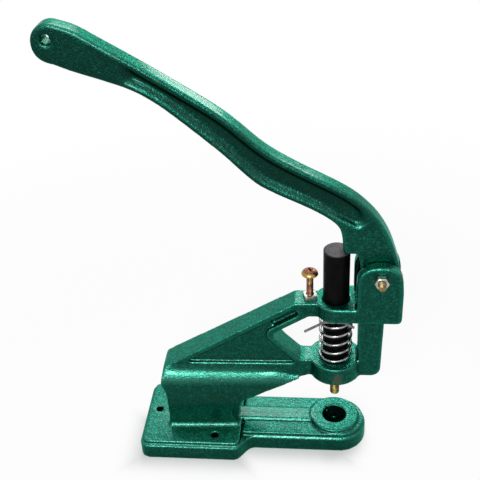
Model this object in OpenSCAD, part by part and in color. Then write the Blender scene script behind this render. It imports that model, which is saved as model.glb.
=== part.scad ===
// Bench hand press for setting snaps and eyelets.
// Millimetres, +Z up. The ram and the die socket share the Z axis, the underside of the base is Z = 0,
// X runs along the press with the handle towards -X, and +Y is the far side.

/* [Ram and dies] */
// Diameter of the ram
ram_d = 23.4; // [22.6:0.1:24]
// Height of the ram head above the bench, lever up
ram_top = 221; // [219:0.5:222]
// Length of the ram
ram_len = 141; // [138:0.5:143]
// Thread diameter of the die stud
stud_d = 9; // [8:0.5:10]
// Reach of the die stud below the ram
stud_reach = 26; // [24:1:29]
// Diameter of the die socket in the tongue
socket_d = 23; // [20:0.5:25]

/* [Base] */
// Length of the bolted foot along the press
foot_len = 96; // [94:1:100]
// Width of the bolted foot
foot_w = 87; // [84:1:92]
// Height of the lower slab of the foot and the tongue
slab_h = 16; // [15:0.5:17]
// Height of the pads above the slab, at the middle
pad_h = 5.5; // [4.5:0.5:6]
// Width of the tongue
tongue_w = 54; // [52:0.5:56]
// Tip of the tongue beyond the ram axis
tongue_tip = 30.5; // [28:0.5:34]
// Diameter of the raised boss round the die socket
boss_d = 47; // [44:1:48]
// Diameter of the three bench screw holes
hole_d = 7; // [5.5:0.5:8]
// Distance of the back hole from the middle plane
hole_off = 2; // [0:0.5:4]

/* [Column and arm] */
// Back of the column, behind the ram axis
column_back = 163; // [160:1:166]
// Width of the column across the press
column_w = 37.5; // [36:0.5:40]
// Bulge of the roll along the top of the column
roll_out = 2; // [1:0.25:3]
// Width of the arm at the column
arm_w = 27; // [25:0.5:28]
// Width of the arm at the ram end
arm_tip_w = 20; // [19:0.5:21]
// Depth of the panels cast into the arm
panel_depth = 3.6; // [2:0.2:4.4]

/* [Ram guides] */
// Height of the upper guide's top face
head_top = 169; // [168:0.5:170]
// Thickness of the upper guide
head_t = 14.5; // [13.5:0.5:15]
// Width of the upper guide and of the fork
head_w = 39; // [38:0.5:41]
// Height of the lower guide's top face
guide_top = 103; // [102:0.5:104]
// Thickness of the lower guide
guide_t = 18.5; // [17.5:0.5:19]
// Diameter of the lower guide
guide_d = 49; // [47:0.5:50]

/* [Lever] */
// Pivot of the lever beyond the ram axis
pivot_x = 38; // [37.5:0.25:38.5]
// Height of the pivot
pivot_z = 202; // [201.5:0.25:202.5]
// Reach of the lever's grip behind the pivot
lever_reach = 256; // [248:2:264]
// Thickness of the lever
lever_t = 17; // [16:0.5:18]
// Thickness of the web between the two side channels
web_t = 7.5; // [6:0.5:9]
// Width of the rims round the side channels
rim_w = 4.2; // [3.8:0.2:5]
// Draft of the channels' walls, across the rim
rim_draft = 4; // [2:0.25:4.5]
// Side play of the lever in the fork
side_play = 0.35; // [0.2:0.05:0.5]

/* [Return spring] */
// Wire of the return spring
wire_d = 3; // [2.6:0.1:3.1]
// Turns of the return spring
spring_turns = 4.75; // [4.5:0.125:5.25]

/* [Fasteners] */
// Thread diameter of the pivot bolt
pivot_d = 6.35; // [6:0.05:6.5]
// Width across flats of its head and nut
pivot_af = 11.1; // [10:0.1:12]
// Thread diameter of the stop screw
stop_d = 6.4; // [5:0.2:7]
// Height of the stop screw's head above the arm
stop_rise = 25.5; // [20:0.5:27]
// Diameter of the split pin through the ram
pin_d = 3; // [2.6:0.1:3.2]
// Radial clearance of the running fits
fit = 0.05; // [0.03:0.01:0.08]

/* [Hidden] */

green = [0.05, 0.42, 0.32];
steel = [0.74, 0.75, 0.77];
zinc = [0.80, 0.72, 0.42];
brass = [0.62, 0.46, 0.20];
black = [0.08, 0.08, 0.09];

// Heights that follow from the sizes above
ram_bottom = ram_top - ram_len;
head_bottom = head_top - head_t;
guide_bottom = guide_top - guide_t;
pad_top = slab_h + pad_h;
boss_top = pad_top + 3;
pin_z = head_bottom - 4;
ear_gap = lever_t / 2 + side_play;
nose_z = ram_top + 0.1;

// Plan of the foot and the tongue
column_x = -column_back;
foot_x = column_x - 27;
foot_end = foot_x + foot_len;
tongue_x = foot_end + 12;
tip_x = tongue_tip - tongue_w / 2;
rib_w = 16.2;
side_hole_x = foot_end - 22.5;
side_hole_y = foot_w / 2 - 14;
back_hole_x = foot_x + 13.5;

// The arm's top edge rises from the back of the column to the knee
arm_back_z = 92;
knee_x = -37;
rise = (head_top - arm_back_z) / (knee_x - column_x);
function arm_top(x) = arm_back_z + rise * (x - column_x);
arm_turn = atan((arm_w - arm_tip_w) / 2 / -column_x);
// Corner of the window at the end of the arm, and the top of its lower slope
window_x = -60;
window_z = arm_top(window_x) - 22.8;
slope_x = -32.5;

// Rounds the corners of an outline given as [x, y, radius]
function unit(v) = v / norm(v);
function turned(v, a) = [v.x * cos(a) - v.y * sin(a), v.x * sin(a) + v.y * cos(a)];
function corner(a, p, b, r) =
    let (u = unit(a - p), w = unit(b - p), half = acos(u * w) / 2, out = -unit(u + w),
         c = p - out * r / sin(half), side = u.x * w.y - u.y * w.x < 0 ? 1 : -1)
    [for (k = [-3:3]) c + r * turned(out, side * k / 3 * (90 - half))];
function flat2(p) = [p.x, p.y];
function rounded(pts) = [for (i = [0:len(pts) - 1])
    let (n = len(pts), p = pts[i], a = pts[(i + n - 1) % n], b = pts[(i + 1) % n])
    for (q = p[2] > 0 ? corner(flat2(a), flat2(p), flat2(b), p[2]) : [flat2(p)]) q];

// Smooth curve through a row of points, and the same curve moved sideways by d
function blend(a, b, c, d, t) = 0.5 * (2 * b + (c - a) * t + (2 * a - 5 * b + 4 * c - d) * t * t
    + (3 * b - a - 3 * c + d) * t * t * t);
function curve(p, n) = concat([for (i = [0:len(p) - 2]) for (k = [0:n - 1])
    blend(p[max(i - 1, 0)], p[i], p[i + 1], p[min(i + 2, len(p) - 1)], k / n)], [p[len(p) - 1]]);
function beside(c, d) = [for (i = [0:len(c) - 1])
    let (t = unit(c[min(i + 1, len(c) - 1)] - c[max(i - 1, 0)])) c[i] + d * [-t.y, t.x]];

// An outline in X and Z made t thick across the press, and one in Y and Z made l long
module side(t) {
    rotate([90, 0, 0])
        linear_extrude(t, center = true)
            children();
}
module along(l) {
    rotate([90, 0, 90])
        linear_extrude(l)
            children();
}
// A rod along Y from y0 to y1
module rod_y(x, z, r, y0, y1) {
    translate([x, y1, z])
        rotate([90, 0, 0])
            cylinder(r = r, h = y1 - y0, $fn = 64);
}

// Plan of the foot and the tongue, and of the two pads that stand on it
module slab_plan() {
    polygon(rounded([
        [foot_x, -foot_w / 2, 9], [foot_end, -foot_w / 2, 8], [tongue_x, -tongue_w / 2, 9],
        [tip_x, -tongue_w / 2, 0], [tip_x, tongue_w / 2, 0], [tongue_x, tongue_w / 2, 9],
        [foot_end, foot_w / 2, 8], [foot_x, foot_w / 2, 9]]));
    translate([tip_x, 0])
        circle(d = tongue_w, $fn = 96);
}
module pad_plan() {
    polygon(rounded([
        [foot_x + 3, -foot_w / 2 + 3, 6], [foot_end + 2.5, -foot_w / 2 + 3, 6],
        [foot_end + 2.5, foot_w / 2 - 3, 6], [foot_x + 3, foot_w / 2 - 3, 6]]));
    translate([foot_end + 4.7, -tongue_w / 2 + 2])
        square([tip_x - foot_end - 4.7, tongue_w - 4]);
    translate([tip_x, 0])
        circle(d = tongue_w - 4, $fn = 96);
}
module base_form() {
    linear_extrude(slab_h)
        slab_plan();
    // The pads fall away from the mould joint on the middle plane
    intersection() {
        linear_extrude(pad_top)
            pad_plan();
        translate([foot_x - 1, 0, 0])
            along(tongue_tip - foot_x + 2)
                polygon([[-foot_w, 1], [foot_w, 1], [foot_w / 2, pad_top - 1.8], [0, pad_top],
                         [-foot_w / 2, pad_top - 1.8]]);
    }
    // Rib along the tongue
    translate([foot_end - 4, -rib_w / 2, 1])
        cube([-foot_end - 10, rib_w, pad_top + 0.8]);
    // Boss round the die socket
    cylinder(d = boss_d, h = boss_top, $fn = 96);
}

// Column and lower beam: upright faces below, then a rounded roll that draws in to the arm
beam_x = -34;
beam_z = guide_bottom - 1;
scoop = [for (k = [0:10]) [foot_end + 1.6 - 6.6 * sin(18 * k), pad_top - 2 + 32 * k / 10]];
roll_z = 77;
roll_h = 13;
roll_in = 9;
roll_top = roll_z + roll_h + 3;
// Share of the bulge and height, from the upright face to the widest place
roll_low = [for (s = [0:0.2:1]) [(1 - cos(180 * s)) / 2, roll_z - 17 * (1 - s)]];
back_x = column_x + 0.8;
module column_side() {
    polygon(concat([[back_x, 10], [foot_end + 1.6, 10]], scoop,
        [[beam_x - 4, beam_z - 0.3], [beam_x, beam_z], [beam_x, roll_top], [column_x + 6, roll_top],
         [column_x, arm_back_z - 2]],
        [for (i = [len(roll_low) - 1:-1:0]) [back_x - (roll_out + 1) * roll_low[i].x, roll_low[i].y]]));
}
module column_half() {
    w = column_w / 2;
    neck_y = w + roll_out - roll_in;
    foot_r = 5;
    intersection() {
        translate([0, 100, 0])
            side(200)
                column_side();
        translate([column_x, 0, 0])
            rotate([0, 0, -2.6])
                translate([-8, 0, 0])
                    along(column_back - 8)
                        polygon(concat([[-12, 9], [w + foot_r, 9]],
                            [for (a = [0:15:90])
                                [w + foot_r * (1 - sin(a)), pad_top - 1.1 + foot_r * (1 - cos(a))]],
                            [for (p = roll_low) [w + roll_out * p.x, p.y]],
                            [for (t = [15:15:75]) [neck_y + roll_in * cos(t), roll_z + roll_h * sin(t)]],
                            [[neck_y + 0.9, roll_top - 2.3], [neck_y - 0.2, roll_top], [-12, roll_top]]));
    }
}

// Outline of the arm with the window's two edges, and its cast panels
module arm_side() {
    polygon(rounded([
        [column_x, 72, 0], [-80, 72, 0], [beam_x - 2, guide_bottom, 0], [-15, guide_bottom, 0],
        [-15, guide_top, 0], [slope_x, guide_top, 3], [window_x, window_z, 4.5],
        [window_x + (head_bottom - window_z) / 0.625, head_bottom, 3], [-12, head_bottom, 0],
        [-12, head_top, 0], [knee_x, head_top, 5], [column_x, arm_back_z, 4]]));
}
panel_z = 98.5;
panel_top = 6.6;
slot_low = window_z + 7.1 - rise * window_x;
module panel_side() {
    polygon(rounded([
        [column_x + (panel_z + panel_top - arm_back_z) / rise, panel_z, 1.5],
        [slope_x - 3.6, panel_z, 2], [-67.5, window_z + 2.4, 8],
        [-33.5, slot_low + rise * -33.5, 3], [-36.5, arm_top(-36.5) - panel_top, 3]]));
}
module slot_side() {
    polygon(rounded([
        [-60, slot_low + rise * -60 + 0.2, 3], [-33.5, slot_low + rise * -33.5, 3],
        [-36.5, arm_top(-36.5) - panel_top, 3], [-58, arm_top(-58) - panel_top, 3]]));
}
// Keeps what lies within the arm's tapering plan, less d a side
module arm_plan(d) {
    intersection() {
        linear_extrude(head_top + 1)
            polygon([[column_x, d - arm_w / 2], [0, d - arm_tip_w / 2], [0, arm_tip_w / 2 - d],
                     [column_x, arm_w / 2 - d]]);
        side(60)
            children();
    }
}
module arm_form() {
    arm_plan(0)
        difference() {
            arm_side();
            panel_side();
        }
    arm_plan(panel_depth)
        difference() {
            arm_side();
            slot_side();
        }
    arm_plan(panel_depth + 3)
        arm_side();
}

// Upper guide with the fork for the lever, and the lower guide with its post
ear_x0 = pivot_x - 20.7;
ear_x1 = pivot_x + 18.4;
ear_top = pivot_z + 12.2;
module fork_plan() {
    linear_extrude(pivot_z + 20)
        polygon(rounded([[ear_x0, -head_w / 2, 3], [ear_x1, -head_w / 2, 3],
            [ear_x1, head_w / 2, 3], [ear_x0, head_w / 2, 3]]));
}
module head_form() {
    translate([0, 0, head_bottom])
        cylinder(d = head_w, h = head_t, $fn = 96);
    translate([0, -head_w / 2, head_bottom])
        cube([ear_x0 + 4, head_w, head_t]);
    intersection() {
        fork_plan();
        difference() {
            side(head_w)
                polygon(rounded([[ear_x0, head_bottom, 0], [ear_x1, head_bottom, 4],
                    [ear_x1, ear_top, 15], [ear_x0, ear_top, 17]]));
            translate([0, -ear_gap, head_top])
                cube([ear_x1 + 1, 2 * ear_gap, pivot_z]);
        }
    }
}
module lower_guide() {
    translate([0, 0, guide_bottom])
        cylinder(d = guide_d, h = guide_t, $fn = 96);
    side(22)
        polygon(rounded([[10, guide_bottom + 1, 0], [41.6, guide_bottom + 1, 9], [43, head_bottom + 2, 0],
            [20, head_bottom + 2, 0], [20.5, guide_top, 2], [10, guide_top, 0]]));
}

// Hollows that the core leaves under the foot, the column and the tongue
module hollows() {
    translate([0, 0, -1])
        linear_extrude(slab_h - 4)
            polygon(rounded([[column_x - 5, -21.5, 6], [foot_end - 9, -21.5, 6],
                [foot_end - 9, 21.5, 6], [column_x - 5, 21.5, 6]]));
    side(19)
        polygon(rounded([[column_x + 10, 2, 0], [foot_end - 13, 2, 0], [foot_end - 13, 66, 8],
            [column_x + 10, 72, 8]]));
    translate([0, 0, -1])
        linear_extrude(slab_h - 4)
            polygon(rounded([[foot_end + 6, -17, 6], [-boss_d / 2 - 9, -17, 6],
                [-boss_d / 2 - 9, 17, 6], [foot_end + 6, 17, 6]]));
}
module bores() {
    // Die socket with its small locating nick and the clamp screw's hole
    translate([0, 0, -1])
        cylinder(d = socket_d, h = boss_top + 2, $fn = 96);
    rotate([0, 0, 130])
        translate([socket_d / 2, 0, boss_top - 7])
            cylinder(d = 3, h = 8, $fn = 24);
    rod_y(0, screw_z, die_screw_d / 2 + fit, socket_d / 2 - 3, tongue_w / 2 + 1);
    // Ram bore through both guides
    translate([0, 0, guide_bottom - 1])
        cylinder(d = ram_d + 2 * fit, h = guide_t + 2, $fn = 96);
    translate([0, 0, head_bottom - 1])
        cylinder(d = ram_d + 2 * fit, h = head_t + 2, $fn = 96);
    rod_y(pivot_x, pivot_z, pivot_d / 2 + fit, -head_w / 2 - 1, head_w / 2 + 1);
    // Bench screw holes
    for (p = [[back_hole_x, hole_off], [side_hole_x, -side_hole_y], [side_hole_x, side_hole_y]])
        translate([p.x, p.y, -1])
            cylinder(d = hole_d, h = pad_top + 2, $fn = 48);
    translate([stop_x, 0, head_bottom - 1])
        cylinder(d = stop_d + 2 * fit, h = head_t + 2, $fn = 48);
}
// The casting is three nodes. The arm with its column meets the base on the top of the foot, and the head with
// the ram guides on a plane square to the arm, clear of the ram bore
head_x = -ram_d / 2 - 6;
module upper_casting() {
    difference() {
        union() {
            column_half();
            mirror([0, 1, 0])
                column_half();
            arm_form();
            head_form();
            lower_guide();
        }
        base_form();
        hollows();
        bores();
    }
}
module before_head() {
    translate([head_x - 200, -foot_w, 0])
        cube([200, 2 * foot_w, pivot_z + 20]);
}
module base() {
    color(green)
        difference() {
            base_form();
            hollows();
            bores();
        }
}
module arm() {
    color(green)
        intersection() {
            upper_casting();
            before_head();
        }
}
module head() {
    color(green)
        difference() {
            upper_casting();
            before_head();
        }
}

// Upper and lower edges of the lever, measured from its pivot; the part behind the neck follows its reach
hub_r = 15.6;
hub_back = 16.9;
neck = -40;
stretch = (lever_reach + neck) / (256 + neck);
function placed(p) = [pivot_x + (p.x < neck ? neck + (p.x - neck) * stretch : p.x), pivot_z + p.y];
upper_edge = [[16, 2], [13.4, 14.2], [4.3, 39.2], [-10, 60.4], [-31, 78.5], [-72, 101.5], [-98, 118.7],
    [-128.5, 146.6], [-169, 174.6], [-205, 197.8], [-236, 216], [-250.6, 221.2]];
lower_edge = [[-257, 191.2], [-236, 183.6], [-218, 177.5], [-200, 170.6], [-186, 162.6], [-169, 149.4],
    [-133.5, 117], [-108, 90.6], [-92, 79.7], [-67, 67], [-52, 58.5], [-41.5, 50.8], [-36, 44], [-33.8, 35]];
grip = placed([-256, 206.5]);
grip_hole = placed([-259, 210]);
grip_r = 15.5;
nose_x = 5.6;
heel_x = 18.4;
over = [for (p = curve(upper_edge, 5)) placed(p)];
under = [for (p = curve(lower_edge, 5)) placed(p)];
// Side channels: a rim's width inside both edges at the surface, drawn in by the draft down to the web. The
// ends slope more gently than the walls
channel_x0 = placed([-206, 0]).x;
channel_x1 = placed([-17, 0]).x;
channel_n = 30;
function height_at(line, x) = lookup(x, [for (p = line) [p.x, p.y]]);
function run(line, from, to, r) = [for (k = [0:channel_n])
    let (x = from + (to - from) * k / channel_n) [x, height_at(line, x), k == 0 || k == channel_n ? r : 0]];
function channel_edge(d) =
    let (a = beside(over, rim_w + d), b = beside(under, rim_w + d), e = 1.7 * d)
    rounded(concat(run(a, channel_x1 - e, channel_x0 + e, 2), run(b, channel_x0 + 2 + e, channel_x1 - 34, 2),
        [[channel_x1 - 1 - 0.8 * e, placed([0, 44.5]).y + 0.5 * e, 3], [channel_x1 + 4 - e, placed([0, 53]).y, 4]]));
module channel_cut() {
    wide = channel_edge(0);
    deep = channel_edge(rim_draft);
    n = len(wide);
    polyhedron(
        points = concat([for (p = wide) [p.x, -lever_t / 2 - 1, p.y]], [for (p = wide) [p.x, -lever_t / 2, p.y]],
            [for (p = deep) [p.x, -web_t / 2, p.y]]),
        faces = concat([[for (k = [n - 1:-1:0]) k]], [[for (k = [0:n - 1]) 2 * n + k]],
            [for (k = [0:n - 1]) [k, (k + 1) % n, n + (k + 1) % n, n + k]],
            [for (k = [0:n - 1]) [n + k, n + (k + 1) % n, 2 * n + (k + 1) % n]],
            [for (k = [0:n - 1]) [n + k, 2 * n + (k + 1) % n, 2 * n + k]]));
}
module lever_side() {
    polygon(rounded(concat([for (p = over) [p.x, p.y, 0]], [for (p = under) [p.x, p.y, 0]],
        [[nose_x, nose_z, 3.6], [heel_x, nose_z, 1], [pivot_x - hub_back, pivot_z + 1, 0], [pivot_x, pivot_z, 0]])));
    translate([pivot_x, pivot_z])
        circle(r = hub_r, $fn = 96);
    translate(grip)
        circle(r = grip_r, $fn = 96);
}
module lever() {
    color(green)
        difference() {
            side(lever_t)
                lever_side();
            channel_cut();
            mirror([0, 1, 0])
                channel_cut();
            rod_y(pivot_x, pivot_z, pivot_d / 2 + fit, -lever_t, lever_t);
            rod_y(grip_hole.x, grip_hole.y, 4, -lever_t, lever_t);
        }
}

// Turned ram: chamfered at both ends, cross hole for the split pin, thread for the die stud
stud_depth = 16;
module turned_rod(r, z0, z1, c) {
    rotate_extrude($fn = 96)
        polygon([[0, z0], [r - c, z0], [r, z0 + c], [r, z1 - c], [r - c, z1], [0, z1]]);
}
module ram() {
    color(black)
        difference() {
            turned_rod(ram_d / 2, ram_bottom, ram_top, 0.8);
            rod_y(0, pin_z, pin_d / 2 + fit, -ram_d, ram_d);
            translate([0, 0, ram_bottom - 1])
                cylinder(d = stud_d + 2 * fit, h = stud_depth + 1.2, $fn = 48);
        }
}
module die_stud() {
    r = stud_d / 2;
    z0 = ram_bottom - stud_reach;
    z1 = ram_bottom + stud_depth;
    // The thread runs out in a neck where the stud enters the ram
    color(brass)
        rotate_extrude($fn = 64)
            polygon([[0, z0], [r - 0.7, z0], [r, z0 + 0.7], [r, ram_bottom], [r - 0.6, ram_bottom],
                     [r - 0.6, ram_bottom + 1.2], [r, ram_bottom + 1.2], [r, z1 - 0.7], [r - 0.7, z1], [0, z1]]);
}

// Split pin: the eye behind the ram, the two legs bent apart in front of it
eye_r = 2.4;
leg_r = pin_d * 0.42;
leg_y = -ram_d / 2 - leg_r - 0.35;
leg_turn = 38;
long_leg = [10.5, 22];
short_leg = [7, 11.5];
module rod_flat(from, to, r) {
    translate([from.x, from.y, 0])
        rotate([0, 90, atan2(to.y - from.y, to.x - from.x)])
            cylinder(r = r, h = norm(to - from), $fn = 24);
}
// One leg: across the ram to the bend, then straight out to its tip; side is -1 or 1, run its two lengths
module leg(side, run) {
    bend = [side * run[0], leg_y];
    rod_flat([0, leg_y], bend, leg_r);
    translate([bend.x, bend.y, 0])
        sphere(r = leg_r, $fn = 24);
    rod_flat(bend, bend + run[1] * [side * cos(leg_turn), -sin(leg_turn)], leg_r);
}
module split_pin() {
    color(steel)
        translate([0, 0, pin_z]) {
            rod_y(0, 0, pin_d / 2, leg_y, ram_d / 2 + 1.4);
            translate([0, ram_d / 2 + 1.2 + eye_r, 0])
                rotate_extrude($fn = 48)
                    translate([eye_r, 0])
                        circle(r = leg_r * 0.8, $fn = 20);
            leg(-1, long_leg);
            leg(1, short_leg);
        }
}

// Return spring, one wound tube, between the lower guide and the split pin's legs
coil_play = 1.6;
coil_r = ram_d / 2 + coil_play + wire_d / 2;
coil_z0 = guide_top + wire_d / 2 + 0.12;
coil_z1 = pin_z - pin_d / 2 - wire_d / 2 - 0.2;
lead = 0.5;
pitch = (coil_z1 - coil_z0) / (spring_turns - lead);
coil_start = -110;
ring = 8;
steps = 26;
function coil_rise(t) = t < lead ? pitch * t * t / (2 * lead)
    : t > spring_turns - lead
        ? pitch * (spring_turns - lead) - pitch * pow(spring_turns - t, 2) / (2 * lead)
        : pitch * (t - lead / 2);
function coil_at(t) = [coil_r * cos(coil_start + 360 * t), coil_r * sin(coil_start + 360 * t),
    coil_z0 + coil_rise(t)];
coil = [for (k = [0:round(spring_turns * steps)]) coil_at(min(k / steps, spring_turns))];
coil_end = coil_start + 360 * spring_turns;
run_out = coil_at(spring_turns) + wire_d * [-sin(coil_end), cos(coil_end), 0];
run_in = coil_at(0) - wire_d * [-sin(coil_start), cos(coil_start), 0];
wire = concat([run_in], coil, [run_out]);
function wire_ring(i) =
    let (p = wire[i], t = unit(wire[min(i + 1, len(wire) - 1)] - wire[max(i - 1, 0)]),
         out = unit([p.x, p.y, 0] - t * ([p.x, p.y, 0] * t)), up = cross(out, t))
    [for (a = [0:360 / ring:359]) p + wire_d / 2 * (cos(a) * out + sin(a) * up)];
module return_spring() {
    n = len(wire);
    color(steel)
        polyhedron(
            points = [for (i = [0:n - 1]) for (q = wire_ring(i)) q],
            faces = concat([[for (k = [0:ring - 1]) k]],
                [for (i = [0:n - 2]) for (k = [0:ring - 1])
                    let (a = i * ring + k, b = i * ring + (k + 1) % ring)
                    [a, a + ring, b + ring, b]],
                [[for (k = [ring - 1:-1:0]) (n - 1) * ring + k]]));
}
// Least distance between wire points half a turn or more apart, less the wire
spring_gap = min([for (i = [0:len(wire) - 1]) for (j = [i + 13:len(wire) - 1]) norm(wire[i] - wire[j])]) - wire_d;
echo(spring_gap = spring_gap);

// Fasteners
module hex_rod(af, h) {
    cylinder(d = af / cos(30), h = h, $fn = 6);
}
pivot_nut_t = 5.6;
bolt_tip = head_w / 2 + pivot_nut_t + 6.9;
module pivot_bolt() {
    color(zinc) {
        rod_y(pivot_x, pivot_z, pivot_d / 2, -bolt_tip, head_w / 2 + 1);
        translate([pivot_x, head_w / 2 + 0.05, pivot_z])
            rotate([-90, 0, 0])
                hex_rod(pivot_af, 4.4);
    }
}
module pivot_nut() {
    color(steel)
        difference() {
            translate([pivot_x, -head_w / 2 - 0.05, pivot_z])
                rotate([90, 0, 0])
                    hex_rod(pivot_af, pivot_nut_t);
            rod_y(pivot_x, pivot_z, pivot_d / 2 + fit, -head_w / 2 - 10, -head_w / 2 + 1);
        }
}
stop_x = -23.4;
stop_nut_t = 4;
stop_head = 15;
module stop_screw() {
    z = head_top + stop_rise;
    color(zinc)
        difference() {
            translate([stop_x, 0, 0])
                rotate_extrude($fn = 64)
                    polygon(concat([[0, head_bottom + 3], [stop_d / 2 - 0.6, head_bottom + 3],
                        [stop_d / 2, head_bottom + 3.6], [stop_d / 2, z], [stop_head / 2 - 0.5, z],
                        [stop_head / 2, z + 0.6]],
                        [for (a = [15:15:90]) [stop_head / 2 * cos(a), z + 0.6 + 4.4 * sin(a)]]));
            // Cross recess
            for (a = [20, 110])
                translate([stop_x, 0, z + 2.2])
                    rotate([0, 0, a])
                        translate([-3, -0.7, 0])
                            cube([6, 1.4, 6]);
        }
}
module stop_nut() {
    color(steel)
        difference() {
            translate([stop_x, 0, head_top + 0.05])
                rotate([0, 0, 17])
                    translate([-5.5, -5.5, 0])
                        cube([11, 11, stop_nut_t]);
            translate([stop_x, 0, head_top - 1])
                cylinder(d = stop_d + 2 * fit, h = stop_nut_t + 2, $fn = 48);
        }
}
die_screw_d = 6;
screw_z = 10.5;
module die_screw() {
    color(black)
        difference() {
            rod_y(0, screw_z, die_screw_d / 2, socket_d / 2 + 0.8, socket_d / 2 + 11.5);
            translate([0, socket_d / 2 + 7.5, screw_z])
                rotate([-90, 0, 0])
                    hex_rod(3, 6);
        }
}

base();
arm();
head();
lever();
ram();
return_spring();
split_pin();
die_stud();
die_screw();
pivot_bolt();
pivot_nut();
stop_screw();
stop_nut();
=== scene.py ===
# %% [markdown]
# # A bench press for snaps and eyelets
# The press is a green casting with a long hand lever. The lever's nose pushes a black ram down
# through two guides, and a wound spring lifts it again. The solids come packed from the CAD model
# and stay where they are. This lesson dresses them: cast edges are softened, threads and a wound
# spring are drawn, and each surface gets a finish made of shader nodes. Lengths are metres in the
# CAD model's own frame, or millimetres where the text says so, which MM turns into metres.

import bmesh
import bpy
import numpy as np
from mathutils import Matrix


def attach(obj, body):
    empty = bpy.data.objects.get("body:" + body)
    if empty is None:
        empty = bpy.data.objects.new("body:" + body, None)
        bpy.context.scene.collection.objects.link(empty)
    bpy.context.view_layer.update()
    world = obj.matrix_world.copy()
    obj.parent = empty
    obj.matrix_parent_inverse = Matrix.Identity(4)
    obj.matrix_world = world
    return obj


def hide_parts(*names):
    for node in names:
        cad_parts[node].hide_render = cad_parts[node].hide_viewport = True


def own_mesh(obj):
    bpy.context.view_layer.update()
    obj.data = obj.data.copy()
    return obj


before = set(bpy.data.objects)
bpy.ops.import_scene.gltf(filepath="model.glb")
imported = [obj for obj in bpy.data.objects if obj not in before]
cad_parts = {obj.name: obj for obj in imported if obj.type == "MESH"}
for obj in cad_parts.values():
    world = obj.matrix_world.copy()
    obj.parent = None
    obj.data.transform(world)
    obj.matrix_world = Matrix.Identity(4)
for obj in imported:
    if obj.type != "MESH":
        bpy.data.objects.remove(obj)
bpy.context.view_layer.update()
scene = bpy.context.scene
scene.view_settings.view_transform = "Standard"
MM = 0.001
print("solids:", ", ".join(sorted(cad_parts)))

# %% [markdown]
# ## Camera
# The photograph's camera was worked out beforehand from known points of the press. Its three axes
# and its place are enough: a Blender camera looks along its own -Z with +Y up, so the columns of
# its matrix are the picture's right, up and backward directions. The lens follows from the focal
# length in picture widths.

# %% Camera at the photograph's viewing angle
picture_right = np.array([0.994393, 0.092624, -0.051023])
picture_up = np.array([-0.008414, 0.550269, 0.834945])
picture_back = np.array([0.105412, -0.829834, 0.547963])
eye = np.array([-9.723, -581.209, 613.539]) * MM
focal_length, picture_width, sensor = 808.672, 480, 36  # two in pixels, the sensor in millimetres
camera_data = bpy.data.cameras.new("photo_camera")
camera_data.sensor_width = sensor
camera_data.lens = sensor * focal_length / picture_width
camera = bpy.data.objects.new("photo_camera", camera_data)
placing = np.eye(4)
placing[:3] = np.column_stack([picture_right, picture_up, picture_back, eye])
camera.matrix_world = Matrix(placing.tolist())
scene.collection.objects.link(camera)
scene.camera = camera
print(f"camera lens {camera_data.lens:.1f} mm, {np.linalg.norm(eye):.2f} m from the die socket")

# %% [markdown]
# ## Shader sums
# A finish is easier to read as a sum than as a drawing of nodes. A `Signal` holds one socket, and
# each operator on it adds a Math node. Every other node comes from the one method `node`, which
# sets the node's own options first and then fills or links its sockets.


# %% A socket that can be used in sums
class Signal:
    """One output socket of a node tree. a + b, a - b and a * b add the Math node of that name."""

    def __init__(self, tree, socket=None):
        self.tree, self.socket = tree, socket

    def node(self, kind, settings, sockets, out=0):
        """A new node of that kind: options first, then numbers or links into its sockets. Returns
        one output."""
        made = self.tree.nodes.new(kind)
        for name, value in settings.items():
            setattr(made, name, value)
        for name, value in sockets.items():
            if isinstance(value, Signal):
                self.tree.links.new(value.socket, made.inputs[name])
            else:
                made.inputs[name].default_value = value
        return Signal(self.tree, made.outputs[out])

    def other(self, out):
        """Another output of the node that this signal comes from."""
        return Signal(self.tree, self.socket.node.outputs[out])

    def sum_with(self, operation, first, second):
        """The Math node of that operation on two signals or numbers."""
        return self.node("ShaderNodeMath", {"operation": operation}, {0: first, 1: second})

    def __add__(self, more):
        return self.sum_with("ADD", self, more)

    def __sub__(self, less):
        return self.sum_with("SUBTRACT", self, less)

    def __rsub__(self, whole):
        return self.sum_with("SUBTRACT", whole, self)

    def __mul__(self, times):
        return self.sum_with("MULTIPLY", self, times)

    __radd__, __rmul__ = __add__, __mul__


print("a Signal adds, subtracts and multiplies sockets")


# %% Words for the finishes
def begin(name):
    """A new material and the signal of its piece's Object coordinates, in metres."""
    material = bpy.data.materials.new(name)
    material.use_nodes = True
    return material, Signal(material.node_tree).node("ShaderNodeTexCoord", {}, {}, "Object")


def dress(material, sockets):
    """Fills or links the sockets of the material's own Principled shader."""
    shader = material.node_tree.nodes["Principled BSDF"]
    for name, value in sockets.items():
        if isinstance(value, Signal):
            material.node_tree.links.new(value.socket, shader.inputs[name])
        else:
            shader.inputs[name].default_value = value
    return material


def tint(factor, low, high):
    """Colour low where the factor is 0 and high where it is 1. Either may be a signal."""
    full = [c if isinstance(c, Signal) else (*c, 1) for c in (low, high)]
    sockets = {0: factor, 6: full[0], 7: full[1]}
    return factor.node("ShaderNodeMix", {"data_type": "RGBA"}, sockets, 2)


def ramp(value, start, stop):
    """0 below start, 1 above stop, a smooth step between; start may be the larger one."""
    smooth = {"interpolation_type": "SMOOTHSTEP"}
    return value.node("ShaderNodeMapRange", smooth, {0: value, 1: start, 2: stop})


def noise(place, size, detail):
    """Cloudy noise from 0 to 1 whose lumps are about that size, in metres."""
    sockets = {"Vector": place, "Scale": 1 / size, "Detail": detail}
    return place.node("ShaderNodeTexNoise", {}, sockets)


def bumps(height, depth, strength):
    """Surface normals of a relief whose height runs from 0 to 1 over that depth, in metres."""
    sockets = {"Height": height, "Distance": depth, "Strength": strength}
    return height.node("ShaderNodeBump", {}, sockets)


print("shader words: begin, dress, tint, ramp, noise, bumps")


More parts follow.
